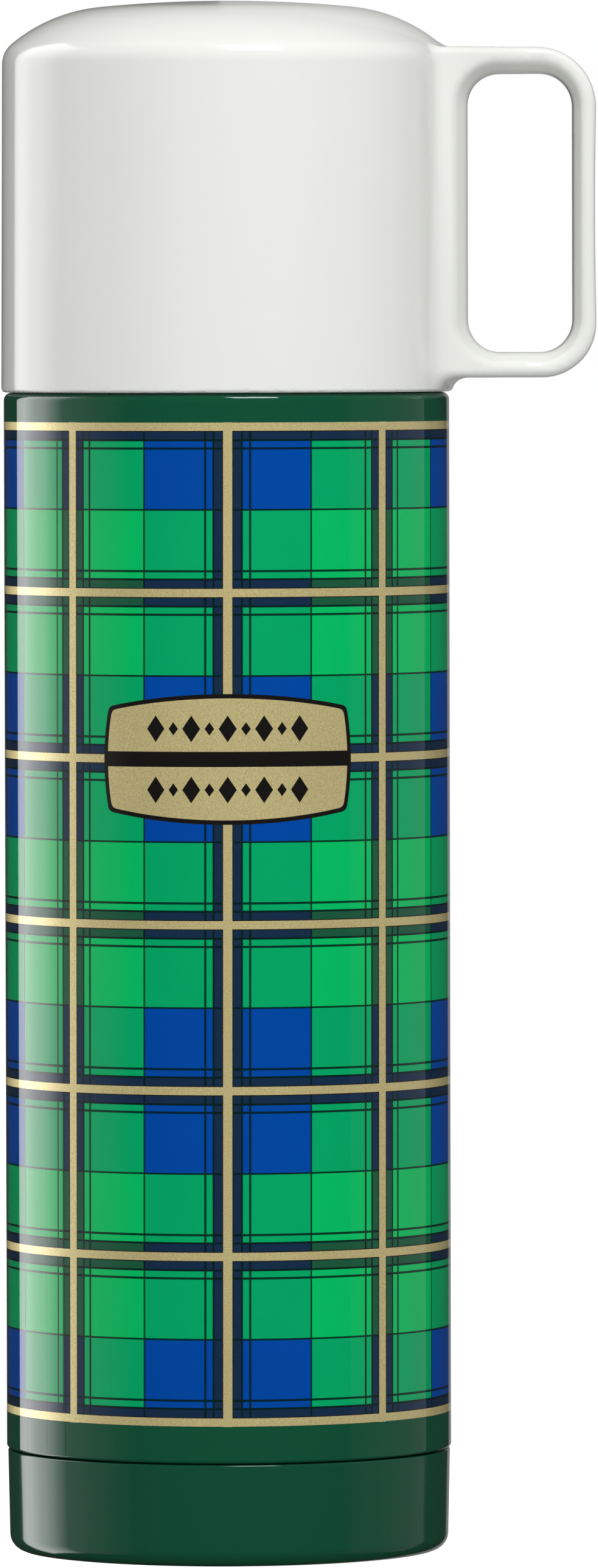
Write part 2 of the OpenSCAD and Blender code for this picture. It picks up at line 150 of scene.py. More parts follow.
def revolve(name, corners, segments=192, steps=6):
    """A solid of revolution about Z from a closed outline."""
    outline = np.array(filleted(corners, steps))
    count = len(outline)
    turn = np.arange(segments) * 2 * math.pi / segments
    vertices = np.empty((segments, count, 3))
    vertices[:, :, 0] = np.cos(turn)[:, None] * outline[:, 0]
    vertices[:, :, 1] = np.sin(turn)[:, None] * outline[:, 0]
    vertices[:, :, 2] = outline[:, 1]
    faces = [(i * count + k, i * count + (k + 1) % count,
              (i + 1) % segments * count + (k + 1) % count, (i + 1) % segments * count + k)
             for i in range(segments) for k in range(count)]
    piece = finish_mesh(name, vertices.reshape(-1, 3), faces)
    shape = bmesh.new()
    shape.from_mesh(piece.data)
    bmesh.ops.remove_doubles(shape, verts=shape.verts, dist=1e-7)
    bmesh.ops.recalc_face_normals(shape, faces=shape.faces)
    shape.to_mesh(piece.data)
    shape.free()
    piece.data.shade_smooth()
    keep_flats = piece.modifiers.new("weighted normals", "WEIGHTED_NORMAL")
    keep_flats.weight = 80
    return piece


# ---- distance fields: negative inside the solid, in millimetres ----

def both(a, b, edge=0.0):
    """Where a and b overlap, with the edge between them rounded."""
    if not edge:
        return np.maximum(a, b)
    return (np.minimum(np.maximum(a, b) + edge, 0)
            + np.hypot(np.maximum(a + edge, 0), np.maximum(b + edge, 0)) - edge)


def joined(a, b, fillet=0.0):
    """a and b together, with a hollow fillet between them. The fillet may vary from point to point."""
    return (np.maximum(np.minimum(a, b) - fillet, 0)
            - np.hypot(np.minimum(a - fillet, 0), np.minimum(b - fillet, 0)) + fillet)


def melted(a, b, reach):
    """a and b together, run into each other softly where they meet at a shallow angle."""
    share = np.maximum(1 - np.abs(a - b) / reach, 0)
    return np.minimum(a, b) - share ** 2 * reach / 4


def cut(a, b, edge=0.0):
    """a with b taken away, with the new edge rounded."""
    return both(a, -b, edge)


def panel(u, v, low_u, high_u, low_v, high_v, corner=0.0):
    """A rectangle with rounded corners."""
    du = np.abs(u - (low_u + high_u) / 2) - (high_u - low_u) / 2 + corner
    dv = np.abs(v - (low_v + high_v) / 2) - (high_v - low_v) / 2 + corner
    return np.hypot(np.maximum(du, 0), np.maximum(dv, 0)) + np.minimum(np.maximum(du, dv), 0) - corner


def ramp(value, start, end):
    """From 0 at start to 1 at end, smoothly."""
    t = np.clip((value - start) / (end - start), 0, 1)
    return t * t * (3 - 2 * t)


def thread(x, y, z, wall_r, crest_r, start_z, start_turn, sweep):
    """The ridges of a screw thread, rising from a wall to their crest and fading at both ends."""
    root, crest_half_w, flank_slope, flank_scale, rounding = 0.4, 0.7, 0.42, 0.92, 0.35
    runout, taper, margin = 2, 10, 20
    outward = 1 if crest_r > wall_r else -1
    height = outward * (np.hypot(x, y) - wall_r)
    turn = np.degrees(np.arctan2(y, x))
    depth = abs(crest_r - wall_r)
    ridges = np.full(np.shape(height), np.inf)
    for i in range(THREAD_STARTS):
        along = (turn - start_turn - 360 / THREAD_STARTS * i + margin) % 360 - margin
        fade = ramp(along, -runout, taper) * ramp(along, sweep + runout, sweep - taper)
        crest = height - depth * fade + root * (1 - fade)
        middle = start_z + THREAD_LEAD * along / 360
        flank = np.abs(z - middle) - crest_half_w + flank_slope * (height - depth)
        ridges = np.minimum(ridges, both(flank * flank_scale, crest, rounding))
    return np.maximum(ridges, -height - root)


def gradient(field, points):
    """Which way a field grows at each point."""
    reach = 0.01
    steps = np.eye(3) * reach
    return np.stack([(field(*(points + s).T) - field(*(points - s).T)) / (2 * reach)
                     for s in steps], axis=1)


def settle(field, points, furthest, rounds):
    """Points moved along the gradient until they lie on the field's surface."""
    for _ in range(rounds):
        slope = gradient(field, points)
        size = np.maximum((slope ** 2).sum(1), 0.05)
        move = np.clip(field(*points.T) / size, -furthest, furthest)
        points = points - move[:, None] * slope
    return points


def sampled(field, low, counts, step, block=4):
    """The field on a grid. Only blocks that the surface may pass through are worked out point by point."""
    blocks = -(-counts // block)
    centres = [low[k] + (np.arange(blocks[k]) + 0.5) * block * step for k in range(3)]
    coarse = field(*np.meshgrid(*centres, indexing="ij"))
    values = coarse
    for axis in range(3):
        values = np.repeat(values, block, axis)
    values = values[:counts[0], :counts[1], :counts[2]].copy()
    near = np.argwhere(np.abs(values) < block * step * 1.2)
    values[tuple(near.T)] = field(*(low + near * step).T)
    return values


CELL_CORNERS = [np.array(corner) for corner in np.ndindex(2, 2, 2)]


def crossed_cells(inside):
    """Which cells of the grid have corners on both sides of the surface."""
    filled = sum(inside[tuple(slice(c[k], inside.shape[k] - 1 + c[k]) for k in range(3))].astype(int)
                 for c in CELL_CORNERS)
    return (filled > 0) & (filled < 8)


def mean_crossings(values, cells):
    """For each cell, the mean of the places where the surface crosses its edges, counted in cells."""
    total = np.zeros((len(cells), 3))
    hits = np.zeros(len(cells))
    for a in CELL_CORNERS:
        for b in CELL_CORNERS:
            if (b - a).min() < 0 or (b - a).sum() != 1:
                continue
            at_a = values[tuple((cells + a).T)]
            at_b = values[tuple((cells + b).T)]
            change = (at_a < 0) != (at_b < 0)
            share = np.where(change, at_a / np.where(change, at_a - at_b, 1), 0)
            total += change[:, None] * (a + share[:, None] * (b - a))
            hits += change
    return cells + total / hits[:, None]


def cell_quads(inside, crossed):
    """A face for each grid edge that the surface crosses, between the four cells round that edge."""
    number = np.full(crossed.shape, -1)
    number[crossed] = np.arange(crossed.sum())
    quads = []
    for axis in range(3):
        u, v = (axis + 1) % 3, (axis + 2) % 3
        first = np.moveaxis(inside, (axis, u, v), (0, 1, 2))
        around = np.moveaxis(number, (axis, u, v), (0, 1, 2))
        change = first[:-1, 1:-1, 1:-1] != first[1:, 1:-1, 1:-1]
        i, j, k = np.argwhere(change).T
        quad = np.stack([around[i, j, k], around[i, j + 1, k],
                         around[i, j + 1, k + 1], around[i, j, k + 1]], axis=1)
        outward = first[i, j + 1, k + 1]
        quads.append(np.where(outward[:, None], quad, quad[:, ::-1]))
    return np.concatenate(quads)


def outward_normals(field, points):
    """A field's direction of growth at each point, one unit long."""
    slope = gradient(field, points)
    return slope / np.maximum(np.linalg.norm(slope, axis=1, keepdims=True), 1e-6)


def evened(field, points, quads, furthest):
    """Points moved along the surface towards the mean of their neighbours, and set back on it."""
    starts = quads.ravel()
    ends = np.roll(quads, -1, axis=1).ravel()
    pairs = np.concatenate([starts, ends])
    others = np.concatenate([ends, starts])
    degree = np.maximum(np.bincount(pairs, minlength=len(points)), 1)
    for _ in range(3):
        mean = np.stack([np.bincount(pairs, points[others, k], len(points)) / degree
                         for k in range(3)], axis=1)
        normals = outward_normals(field, points)
        shift = mean - points
        shift -= (shift * normals).sum(1, keepdims=True) * normals
        points = settle(field, points + 0.5 * shift, furthest, rounds=1)
    return settle(field, points, furthest, rounds=2)


def from_field(name, field, low, high, step):
    """A mesh of a field's surface: one vertex for each grid cell that the surface crosses, evened out
    along the surface and then set exactly on it. Its shading normals are the field's own."""
    low = np.array(low, float)
    counts = np.ceil((np.array(high) - low) / step).astype(int) + 1
    values = sampled(field, low, counts, step)
    inside = values < 0
    crossed = crossed_cells(inside)
    quads = cell_quads(inside, crossed)
    points = low + mean_crossings(values, np.argwhere(crossed)) * step
    points = settle(field, points, step / 2, rounds=2)
    points = evened(field, points, quads, step / 2)
    return finish_mesh(name, points, quads.tolist(), outward_normals(field, points))


# ---- flask ----

def make_outer_shell():
    """Drawn steel outer wall, painted and printed outside."""
    spigot_r, foot_z, neck_r, flat_r = 34.4, 17.15, 25.0, 34.8
    shoulder_z = CUP_EDGE_Z - 0.05
    ring_r, ring_z = neck_r + 2, SHELL_HIGH_Z - 3.65
    t = SHEET_T
    return revolve("body_shell", [
        (spigot_r, SHELL_LOW_Z), (spigot_r, foot_z, 0.3), (SHELL_R, foot_z, 0.5),
        (SHELL_R, shoulder_z, 1.3), (flat_r, shoulder_z), (ring_r, ring_z),
        (neck_r, ring_z + 0.2, 1.8), (neck_r, SHELL_HIGH_Z), (neck_r - t, SHELL_HIGH_Z),
        (neck_r - t, ring_z - 0.2, 2.1), (ring_r, ring_z - t - 0.2),
        (SHELL_R - t, shoulder_z - t - 0.1, 1.5), (SHELL_R - t, foot_z + t, 0.4),
        (spigot_r - t, foot_z + t, 0.3), (spigot_r - t, SHELL_LOW_Z),
    ], segments=256, steps=8)


def make_base_cap():
    """Plastic cap on the body's foot: a flat standing ring round a recess with a raised ring."""
    foot_r, bore_r, floor_z, recess_z = CAP_R - 0.25, 34.5, 2.9, 1.2
    recess_r, groove_r, groove_z, dimple_r = 28.8, 20.5, recess_z - 0.4, 1.7
    return revolve("base_cap_shell", [
        (0, recess_z + 0.35), (dimple_r - 0.3, recess_z + 0.35, 0.2), (dimple_r + 0.3, recess_z, 0.3),
        (groove_r - 0.9, recess_z, 0.2), (groove_r - 0.5, groove_z, 0.2),
        (groove_r + 0.5, groove_z, 0.2), (groove_r + 0.9, recess_z, 0.2),
        (recess_r, recess_z, 0.5), (recess_r + 1, 0, 0.5), (foot_r, 0, 2.7),
        (CAP_R + 0.1, CAP_HIGH_Z, 0.35), (bore_r, CAP_HIGH_Z, 0.3), (bore_r, floor_z, 2.6), (0, floor_z),
    ], segments=256)


def collar_field(x, y, z):
    """Threaded plastic collar round the steel neck."""
    r = np.hypot(x, y)
    hole_r, neck_r, flange_r, bore_r, ledge_z, flange_t = 25.2, 33.0, 34.3, 29.0, 197.5, 1.1
    chamfer, slant = 2, 0.7071
    low, high = COLLAR_LOW_Z, COLLAR_HIGH_Z
    wall = panel(r, z, bore_r, neck_r, low, high, 0.5)
    ledge = panel(r, z, hole_r, neck_r - 0.5, low, ledge_z, 0.25)
    flange = panel(r, z, neck_r - 3, flange_r, low, low + flange_t, 0.3)
    solid = joined(joined(wall, ledge, 0.4), flange, 0.3)
    chamfered = ((hole_r - r) + (low - z) + chamfer) * slant
    solid = both(solid, chamfered)
    for_cup = thread(x, y, z, neck_r, neck_r + THREAD_H, CUP_THREAD_Z, 0, 240)
    for_stopper = thread(x, y, z, bore_r, bore_r - THREAD_H, 203.4, 60, 100)
    return joined(joined(solid, for_cup, THREAD_FILLET), for_stopper, THREAD_FILLET)


# ---- cup ----

def cup_skin(r, z):
    """Distance outside the cup's outer surface: a wide dome, a tighter bend, a corner and the wall."""
    dome, bend, corner = 220.0, 26.5, 4.3
    dome_a, bend_a = math.radians(5.5), math.radians(40)
    bend_x = (dome - bend) * math.sin(dome_a)
    bend_z = CUP_HIGH_Z - dome + (dome - bend) * math.cos(dome_a)
    corner_x = bend_x + (bend - corner) * math.sin(bend_a)
    corner_z = bend_z + (bend - corner) * math.cos(bend_a)
    corner_r = corner_x + corner
    taper = (CUP_R - corner_r) / (corner_z - CUP_LOW_Z)
    wall = r - corner_r - taper * (corner_z - z)
    round_corner = np.hypot(r - corner_x, z - corner_z) - corner
    round_bend = np.hypot(r - bend_x, z - bend_z) - bend
    round_dome = np.hypot(r, z - CUP_HIGH_Z + dome) - dome
    on_corner = (z - corner_z) * math.tan(bend_a) < (r - corner_x)
    on_bend = (z - bend_z) * math.tan(dome_a) < (r - bend_x)
    above = np.where(on_corner, round_corner, np.where(on_bend, round_bend, round_dome))
    return np.where(z < corner_z, wall, above)


HANDLE_LOW_Z = CUP_LOW_Z + 2.8
HANDLE_HIGH_Z = CUP_HIGH_Z - 7.8
HANDLE_HALF_W = 7.5
HANDLE_EDGE = 1.2


def handle_depth(x, y):
    """Distance outside the handle's faces, which spread apart towards the cup."""
    spread, spread_low_x, spread_high_x = 6.0, 34, 52
    return np.abs(y) - HANDLE_HALF_W - spread * ramp(x, spread_high_x, spread_low_x)


def handle_field(x, y, z):
    """The handle's outside: seen from the side a rounded frame, a little narrower at mid height, and
    seen from above widening towards the cup."""
    low, high = HANDLE_LOW_Z, HANDLE_HIGH_Z
    middle = (low + high) / 2
    end_waist, mid_waist, bar_low_x, bar_high_x = 0.1, 0.45, 50, 58
    waist = end_waist + mid_waist * (1 - ((z - middle) / (high - middle)) ** 2)
    upper_corner, lower_corner_less, change = 10.2, 0.9, 10
    corner = upper_corner - lower_corner_less * ramp(z, middle + change, middle - change)
    outside = panel(x + waist * ramp(x, bar_low_x, bar_high_x), z, 0, HANDLE_X, low, high, corner)
    face_scale = 0.92
    return both(outside, handle_depth(x, y) * face_scale, HANDLE_EDGE)


def finger_gap(x, y, z):
    """The opening through the handle, with a broad bevel on both faces."""
    low, high = HANDLE_LOW_Z + 4.2, HANDLE_HIGH_Z - 4.4
    near_x, far_x, corner = CUP_R + 2.7, HANDLE_X - 4.2, 5.4
    bevel_depth, bevel_w, bevel_start, most, lean, field_scale = 2.9, 1.9, 0.8, 1.1, 0.4, 0.85
    depth = handle_depth(x, y) + bevel_depth
    bevel = np.minimum((depth + np.hypot(depth, bevel_start)) / (2 * bevel_depth), most)
    opening = panel(x + lean * bevel, z, near_x, far_x, low, high, corner)
    return (opening - bevel_w * bevel) * field_scale


def cup_field(x, y, z):
    """Cup with its handle, and the thread inside its mouth."""
    r = np.hypot(x, y)
    wall_t, edge = 2.1, 0.55
    bore_r, crest_r = CUP_R - wall_t, 33.6
    skin = cup_skin(r, z)
    upper_reach, lower_reach_more, ends = 1.4, 1.8, 8
    reach = upper_reach + lower_reach_more * ramp(z, HANDLE_HIGH_Z - ends, HANDLE_LOW_Z + ends)
    solid = melted(skin, handle_field(x, y, z), reach)
    solid = cut(solid, finger_gap(x, y, z), 0.6)
    solid = both(solid, -skin - wall_t)
    solid = both(solid, CUP_EDGE_Z - z, edge)
    return joined(solid, thread(x, y, z, bore_r, crest_r, CUP_THREAD_Z, 60, 100), THREAD_FILLET)


# ---- stopper ----

RIM_LOW_Z = COLLAR_HIGH_Z + 0.3
RIM_HIGH_Z = RIM_LOW_Z + 3.2
BARREL_R = 27.2
PLUG_R = 22.0
GROOVE_LOW_Z = SEAT_Z + 3.6
GROOVE_HIGH_Z = SEAT_Z + 7.4
PORT_R = 8.0
STEM_R = 2.0


def stopper_field(x, y, z):
    """Threaded barrel and hollow plug, with a scalloped grip rim."""
    r = np.hypot(x, y)
    grips, scallop_r, barrel_z, above_z = 30, 1.1, 197.9, 230
    plug = panel(r, z, 0, PLUG_R, SEAT_Z, barrel_z + 2, 1.2)
    groove = panel(r, z, PLUG_R - 1.4, PLUG_R + 3, GROOVE_LOW_Z, GROOVE_HIGH_Z, 0.2)
    barrel = panel(r, z, 0, BARREL_R, barrel_z, RIM_LOW_Z + 1, 0.6)
    rim = panel(r, z, 0, STOPPER_R, RIM_LOW_Z, RIM_HIGH_Z, 0.6)
    turn = np.arctan2(y, x)
    pitch = 2 * math.pi / grips
    offset = (turn + pitch / 2) % pitch - pitch / 2
    scallop = np.hypot(r * np.cos(offset) - STOPPER_R - 0.5, r * np.sin(offset)) - scallop_r
    solid = joined(cut(plug, groove, 0.2), barrel, 0.4)
    solid = joined(solid, cut(rim, scallop, 0.3), 0.5)
    solid = joined(solid, thread(x, y, z, BARREL_R, BARREL_R + THREAD_H, 199.4, 0, 200), THREAD_FILLET)
    hollow = joined(panel(r, z, -5, PLUG_R - 2.6, SEAT_Z + 2, above_z, 0.5),
                    panel(r, z, -5, BARREL_R - 2, barrel_z + 1.5, above_z, 0.8), 0.5)
    hollow = np.minimum(hollow, panel(r, z, -5, STOPPER_R - 2.4, RIM_HIGH_Z - 2.5, above_z, 0.2))
    hollow = np.minimum(hollow, r - PORT_R)
    return cut(solid, hollow, 0.3)


def cover_field(x, y, z):
    """Cover of the stopper: a domed ring round the button's guide, with a pouring slot and an air hole."""
    r = np.hypot(x, y)
    guide_r, tube_r, seat_r, edge_r = BUTTON_R + 0.3, BUTTON_R + 2.1, STOPPER_R - 2.5, STOPPER_R - 0.5
    floor_z, above_z = 204.0, 250
    low = RIM_HIGH_Z - 1.4
    slope = RIM_HIGH_Z + 5.9 - np.maximum(r - guide_r - 1.5, 0) * 0.06
    top = both(panel(r, z, 0, edge_r, RIM_HIGH_Z + 0.1, above_z, 0.3), z - slope, 1.6)
    skirt = panel(r, z, seat_r - 2.5, seat_r, low, RIM_HIGH_Z + 1, 0.2)
    tube = panel(r, z, 0, tube_r, floor_z - 2.5, RIM_HIGH_Z + 3, 0.5)
    under = panel(r, z, tube_r, seat_r - 2.5, low - 1, low + 2.4, 0.5)
    solid = joined(joined(top, skirt, 0.05), tube, 0.5)
    solid = cut(solid, under, 0.2)
    solid = cut(solid, panel(r, z, -5, guide_r, floor_z, above_z, 0.3), 0.5)
    solid = cut(solid, panel(r, z, -5, STEM_R + 2.5, floor_z - 1.5, above_z, 0.1), 0.2)
    solid = cut(solid, r - STEM_R - 0.7, 0.2)
    slot_r, slot_half_turn, slot_half_w, vent_r = 20.5, math.radians(12), 3.4, 1.6
    turn = np.arctan2(y, -x)
    to_slot = r * np.maximum(np.abs(turn) - slot_half_turn, 0)
    pour = np.hypot(to_slot, r - slot_r) - slot_half_w
    solid = cut(solid, pour, 0.7)
    vent = np.hypot(x - slot_r, y) - vent_r
    return cut(solid, vent, 0.4)


def make_button():
    """Push button with a shallow finger dish."""
    boss_r, bore_r, skirt_t = STEM_R + 2, STEM_R + 0.1, 1.5
    ceiling_z, bore_z = BUTTON_HIGH_Z - 2.5, BUTTON_HIGH_Z - 4
    return revolve("pour_button_cap", [
        (0, BUTTON_HIGH_Z - 0.9), (BUTTON_R * 0.6, BUTTON_HIGH_Z - 0.3, 6.0),
        (BUTTON_R * 0.72, BUTTON_HIGH_Z, 1.0), (BUTTON_R, BUTTON_HIGH_Z - 0.6, 1.6),
        (BUTTON_R, BUTTON_LOW_Z, 0.3), (BUTTON_R - skirt_t, BUTTON_LOW_Z, 0.3),
        (BUTTON_R - skirt_t, ceiling_z, 0.8), (boss_r, ceiling_z, 0.8),
        (boss_r, BUTTON_LOW_Z, 0.3), (bore_r, BUTTON_LOW_Z, 0.2),
        (bore_r, bore_z), (0, bore_z),
    ], segments=128)


def make_gasket():
    """Silicone gasket with two sealing lips."""
    back_r, lip_r, lip_h = PLUG_R - 1.3, PLUG_R + 0.6, 1.25
    low, high = GROOVE_LOW_Z + 0.2, GROOVE_HIGH_Z - 0.2
    middle = (low + high) / 2
    return revolve("gasket_lips", [
        (back_r, low, 0.2), (lip_r, low, 0.55), (lip_r, low + lip_h, 0.4),
        (lip_r - 0.6, middle, 0.3), (lip_r, high - lip_h, 0.4), (lip_r, high, 0.55),
        (back_r, high, 0.2),
    ], segments=160)


def make_neck_ring():
    """Rubber ring in the groove under the collar's thread."""
    low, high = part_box("neck_ring")
    half = (high.z - low.z) / MM / 2
    middle_r = high.y / MM - half
    middle_z = (high.z + low.z) / MM / 2
    points = 24
    outline = [(middle_r + half * math.cos(a), middle_z + half * math.sin(a))
               for a in np.arange(points) * 2 * math.pi / points]
    return revolve("neck_o_ring", outline, segments=192)


# ---- materials ----

def srgb(red, green, blue):
    """A colour given as it looks on a screen, from 0 to 255, as the shader's own numbers."""
    return tuple(c / 12.92 if c <= 0.04045 else ((c + 0.055) / 1.055) ** 2.4
                 for c in (red / 255, green / 255, blue / 255)) + (1.0,)


class Number:
    """A number in a material that varies over the surface. Sums, products and masks add Math nodes."""

    def __init__(self, tree, socket):
        self.tree = tree
        self.socket = socket

    def math(self, operation, *others, clamp=False):
        """The result of a Math node on this number and the others."""
        node = self.tree.nodes.new("ShaderNodeMath")
        node.operation = operation
        node.use_clamp = clamp
        for socket, value in zip(node.inputs, (self,) + others):
            if isinstance(value, Number):
                self.tree.links.new(value.socket, socket)
            else:
                socket.default_value = value
        return Number(self.tree, node.outputs[0])

    def __add__(self, other):
        return self.math("ADD", other)

    def __sub__(self, other):
        return self.math("SUBTRACT", other)

    def __mul__(self, other):
        return self.math("MULTIPLY", other)

    def __or__(self, other):
        return self.math("MAXIMUM", other)

    def __and__(self, other):
        return self.math("MINIMUM", other)

    def __invert__(self):
        return self.math("MULTIPLY_ADD", -1.0, 1.0)

    def __abs__(self):
        return self.math("ABSOLUTE")

    def below(self, edge, soft=0.04):
        """1 where this is under the edge and 0 above it."""
        return self.math("MULTIPLY_ADD", -1 / soft, edge / soft + 0.5, clamp=True)

    def near(self, middle, half_width):
        """1 within half_width of the middle."""
        return abs(self - middle).below(half_width)


def new_material(name, **constants):
    """A material with one Principled shader, and its tree, shader and object coordinates."""
    material = bpy.data.materials.new(name)
    material.use_nodes = True
    tree = material.node_tree
    shader = tree.nodes["Principled BSDF"]
    for label, value in constants.items():
        shader.inputs[label.replace("_", " ").title().replace("Ior", "IOR")].default_value = value
    place = tree.nodes.new("ShaderNodeTexCoord").outputs["Object"]
    return material, tree, shader, place


def place_parts(tree, place):
    """The x, y and z of a surface point, in millimetres."""
    split = tree.nodes.new("ShaderNodeSeparateXYZ")
    tree.links.new(place, split.inputs[0])
    return [Number(tree, output) * (1 / MM) for output in split.outputs]


def noise(tree, place, per_mm, detail=2.0, stretch=(1, 1, 1), roughness=0.5):
    """Noise from 0 to 1, with about per_mm spots in a millimetre."""
    scale = tree.nodes.new("ShaderNodeMapping")
    scale.inputs["Scale"].default_value = [s * per_mm / MM for s in stretch]
    tree.links.new(place, scale.inputs["Vector"])
    node = tree.nodes.new("ShaderNodeTexNoise")
    node.inputs["Scale"].default_value = 1.0
    node.inputs["Detail"].default_value = detail
    node.inputs["Roughness"].default_value = roughness
    tree.links.new(scale.outputs[0], node.inputs["Vector"])
    return Number(tree, node.outputs["Fac"])


def layered(tree, under, over, mask):
    """The colour over laid on the colour under where mask is 1."""
    node = tree.nodes.new("ShaderNodeMix")
    node.data_type = "RGBA"
    tree.links.new(mask.socket, node.inputs["Factor"])
    for label, colour in (("A", under), ("B", over)):
        socket = [s for s in node.inputs if s.name == label and s.type == "RGBA"][0]
        if isinstance(colour, tuple):
            socket.default_value = colour
        else:
            tree.links.new(colour, socket)
    return [s for s in node.outputs if s.type == "RGBA"][0]


def between(mask, low, high):
    """A number that goes from low to high as mask goes from 0 to 1."""
    return mask.math("MULTIPLY_ADD", high - low, low)


def bumped(tree, shader, height, distance_mm, strength):
    """Fine relief on the shader's normal."""
    node = tree.nodes.new("ShaderNodeBump")
    node.inputs["Strength"].default_value = strength
    node.inputs["Distance"].default_value = distance_mm * MM
    tree.links.new(height.socket, node.inputs["Height"])
    tree.links.new(node.outputs[0], shader.inputs["Normal"])


PLAIN_GREEN = srgb(19, 83, 57)
MEDIUM_GREEN = srgb(3, 174, 106)
BRIGHT_GREEN = srgb(6, 197, 104)
BLUE = srgb(0, 75, 170)
BLUE_BAND = srgb(24, 48, 76)
GREEN_BAND = srgb(30, 92, 64)
THIN_LINE = srgb(6, 34, 30)
GOLD_EDGE = srgb(34, 28, 22)
BLACK_INK = srgb(26, 24, 22)
GOLD = srgb(208, 187, 124)
GOLD_FLAKE = srgb(255, 242, 182)

PRINT_LOW_Z = 23.2
PRINT_HIGH_Z = 187.7
TOP_LINE_Z = 187.0
ROW_H = 27.18
COLUMN_TURN = math.radians(43.43)
COLUMN_W = COLUMN_TURN * SHELL_R
PLAQUE_Z = 132.6
PRINT_SLOPE = 0.0024


def plaque_masks(across, up):
    """Outline, gold field and ornament of the plaque, from distances to its middle."""
    half_w, half_h, bar_half_h, corner, line_w = 21.4, 10.7, 1.25, 1.2, 0.72
    side_bulge, side_at, crown_bulge, crown_at = 0.9, 8.6, 2.1, 20.5
    side = abs(across) + up * up * (side_bulge / side_at ** 2) - half_w
    crown = abs(up) + across * across * (crown_bulge / crown_at ** 2) - half_h
    edge = side.math("SMOOTH_MAX", crown, corner)
    bar = abs(up).below(bar_half_h)
    # a row of lozenges above the bar and one below it, large and small in turn
    row_up, pitch, row_half_w = 5.0, 3.0, 13.6
    large_w, large_h, small_w, small_h = 1.5, 2.2, 0.8, 1.1
    row = abs(abs(up) - row_up)
    step = across.math("PINGPONG", pitch)
    large = (step * (1 / large_w) + row * (1 / large_h)).below(1.0, 0.05)
    small = ((step - pitch) * (-1 / small_w) + row * (1 / small_h)).below(1.0, 0.08)
    ornament = (large | small) & abs(across).below(row_half_w)
    return edge.below(0.0), edge.below(-line_w), bar | ornament


def tartan(tree, turn, z):
    """Colour of the squares, bands and thin lines, and the mask of the gold lines. The gold lines are
    of two kinds in turn, both across and up, and a square takes its colour from the nearest two:
    blue, bright green, or medium green where the kinds differ."""
    column = turn * (1 / COLUMN_TURN)
    nearest_column = column.math("ROUND")
    du = abs(column - nearest_column) * COLUMN_W
    column_kind = nearest_column.math("PINGPONG", 1.0)
    row = (z - TOP_LINE_Z) * (1 / ROW_H)
    nearest_row = row.math("ROUND")
    dz = abs(row - nearest_row) * ROW_H
    row_kind = nearest_row.math("PINGPONG", 1.0)

    both_green = column_kind & row_kind
    both_blue = ~(column_kind | row_kind)
    ground = layered(tree, MEDIUM_GREEN, BLUE, both_blue)
    ground = layered(tree, ground, BRIGHT_GREEN, both_green)
    bands = layered(tree, BLUE_BAND, GREEN_BAND, both_green)
    # distances from a gold line's middle: across a column first, then across a row
    band_u, band_z = 2.40, 2.30
    outer_u, outer_z, inner_u, inner_z = 3.68, 3.56, 2.34, 2.22
    edge_u, edge_z, gold_u, gold_z = 0.92, 0.83, 0.75, 0.67
    band_mask = du.below(band_u) | dz.below(band_z)
    thin = du.near(outer_u, 0.185) | dz.near(outer_z, 0.19)
    thin = thin | du.near(inner_u, 0.16) | dz.near(inner_z, 0.17)
    thin = thin | ~du.below(COLUMN_W / 2 - 0.145) | ~dz.below(ROW_H / 2 - 0.155)
    colour = layered(tree, ground, bands, band_mask)
    colour = layered(tree, colour, THIN_LINE, thin * 0.95)
    edges = du.below(edge_u) | dz.below(edge_z)
    gold_lines = du.below(gold_u) | dz.below(gold_z)
    return layered(tree, colour, GOLD_EDGE, edges), gold_lines


def make_printed_steel():
    """Glossy painted steel with a printed tartan: gold lines edged in black, with bands beside them,
    over squares of blue and two greens, and a gold plaque in front."""
    material, tree, shader, place = new_material(
        "printed_steel", coat_weight=1.0, coat_roughness=0.04, coat_ior=1.5,
        specular_ior_level=0.0)
    x, y, z = place_parts(tree, place)
    unskewed_z, seam_half_w, front_turn = 112.0, 0.1, 1.2
    skew = (z - unskewed_z) * (PRINT_SLOPE / SHELL_R)
    turn = x.math("ARCTAN2", y * -1.0) - skew
    seam = abs(turn).math("GREATER_THAN", math.pi - seam_half_w / SHELL_R)
    colour, gold_lines = tartan(tree, turn, z)

    outline, field, ornament = plaque_masks(turn * SHELL_R, z - PLAQUE_Z)
    front = abs(turn).below(front_turn)
    outline = outline & front
    field = field & front
    colour = layered(tree, colour, BLACK_INK, outline)

    middle_z, half_h = (PRINT_LOW_Z + PRINT_HIGH_Z) / 2, (PRINT_HIGH_Z - PRINT_LOW_Z) / 2
    printed = z.near(middle_z, half_h) & ~seam
    gold_mask = ((gold_lines & ~outline) | (field & ~ornament)) & printed

    flakes = noise(tree, place, 5.0, detail=3.0, roughness=0.7)
    clouds = noise(tree, place, 0.05, detail=2.0)
    gold = layered(tree, GOLD, GOLD_FLAKE, flakes.math("MULTIPLY_ADD", 2.4, -0.7, clamp=True))
    colour = layered(tree, PLAIN_GREEN, colour, printed)
    colour = layered(tree, colour, gold, gold_mask)
    deeper = layered(tree, colour, srgb(0, 0, 0), clouds * 0.10)
    tree.links.new(deeper, shader.inputs["Base Color"])
    tree.links.new(between(gold_mask, 0.0, 0.45).socket, shader.inputs["Metallic"])
    tree.links.new(between(flakes, 0.38, 0.52).socket, shader.inputs["Roughness"])
    relief = gold_mask * 0.5 + flakes * gold_mask * 0.4
    bumped(tree, shader, relief, 0.02, 0.6)
    return material


def darkened(colour, share):
    """A colour with a share of its light taken away."""
    return tuple(c * (1 - share) for c in colour[:3]) + (1.0,)


